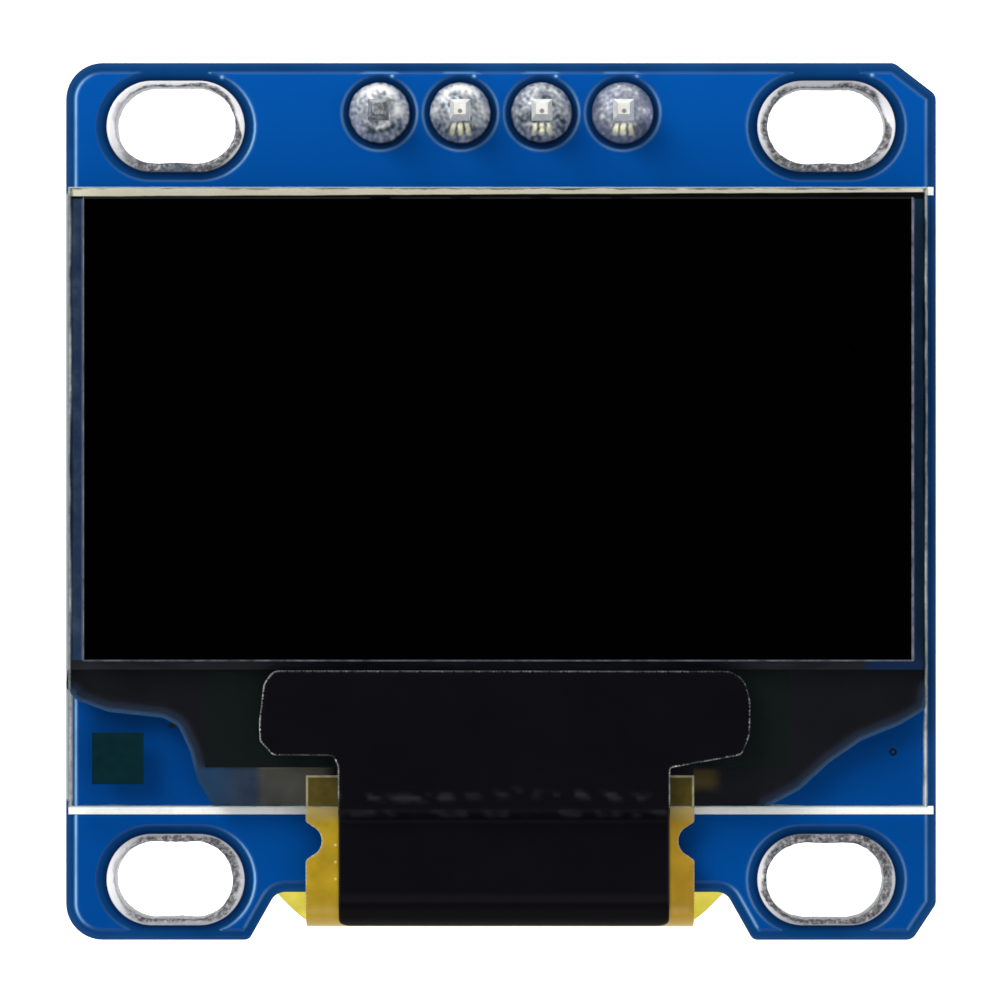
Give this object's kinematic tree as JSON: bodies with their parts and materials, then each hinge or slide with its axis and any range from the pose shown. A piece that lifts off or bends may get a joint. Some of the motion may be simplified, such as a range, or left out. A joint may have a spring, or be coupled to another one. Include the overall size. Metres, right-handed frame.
{
  "type": "oled display module",
  "caption": "Flat display module: a glass panel on a slotted blue circuit board, joined by a flex round one edge, with a pin header behind.",
  "frame": {"origin": "centre of the pattern of mounting slots, on the board's back face", "axes": "+Z out of the screen, +Y towards the edge with the pin header, +X to the right seen from the front"},
  "size_m": [0.0272, 0.0275, 0.0115],
  "materials": {
    "board": "bare glass-fibre laminate edge",
    "solder_mask": "glossy blue lacquer",
    "legend": "white printing ink",
    "plating": "tinned copper",
    "solder": "bright uneven solder",
    "pin_metal": "tinned square wire",
    "header_plastic": "moulded black plastic",
    "tape_foam": "thin double-sided tape",
    "glass": "clear cut glass",
    "desiccant": "white drying sheet",
    "seal": "cured resin line",
    "pixels": "metal-backed light layer",
    "polarizer": "black polarizing film",
    "traces": "dark transparent conductors",
    "chip_silicon": "bare polished die",
    "test_metal": "greenish thin metal",
    "sealant": "dark clear resin",
    "flex_film": "amber polyimide film",
    "shield_tape": "satin black tape",
    "ceramic": "fired ceramic body",
    "resistor_body": "black glazed body",
    "moulding": "moulded black resin"
  },
  "bodies": {
    "root": {"board_core": "board", "front_mask": "solder_mask", "back_mask": "solder_mask", "front_silkscreen": "legend", "back_silkscreen": "legend", "header_block": "header_plastic", "mounting_tape": "tape_foam", "cap_glass": "glass", "desiccant_sheet": "desiccant", "edge_seal": "seal", "pixel_layer": "pixels", "substrate_glass": "glass", "polarizer": "polarizer", "ledge_traces": "traces", "driver_chip": "chip_silicon", "flex_bond": "seal", "test_patch": "test_metal", "ledge_sealant": "sealant", "flex_circuit": "flex_film", "flex_leads": "plating", "lead_solder": "solder", "shield_tape": "shield_tape", "regulator_pads": "plating", "chip_solder": "solder", "regulator_body": "moulding", "regulator_leads": "pin_metal", "slot_plating_1": "plating", "header_pin_1": "pin_metal", "solder_joint_1": "solder", "slot_plating_2": "plating", "header_pin_2": "pin_metal", "solder_joint_2": "solder", "slot_plating_3": "plating", "header_pin_3": "pin_metal", "solder_joint_3": "solder", "slot_plating_4": "plating", "header_pin_4": "pin_metal", "solder_joint_4": "solder", "capacitor_1": "ceramic", "capacitor_2": "ceramic", "capacitor_3": "ceramic", "capacitor_4": "ceramic", "capacitor_5": "ceramic", "capacitor_6": "ceramic", "capacitor_7": "ceramic", "capacitor_8": "ceramic", "resistor_1": "resistor_body", "resistor_2": "resistor_body", "resistor_3": "resistor_body", "resistor_4": "resistor_body", "resistor_5": "resistor_body"}
  },
  "joints": []
}
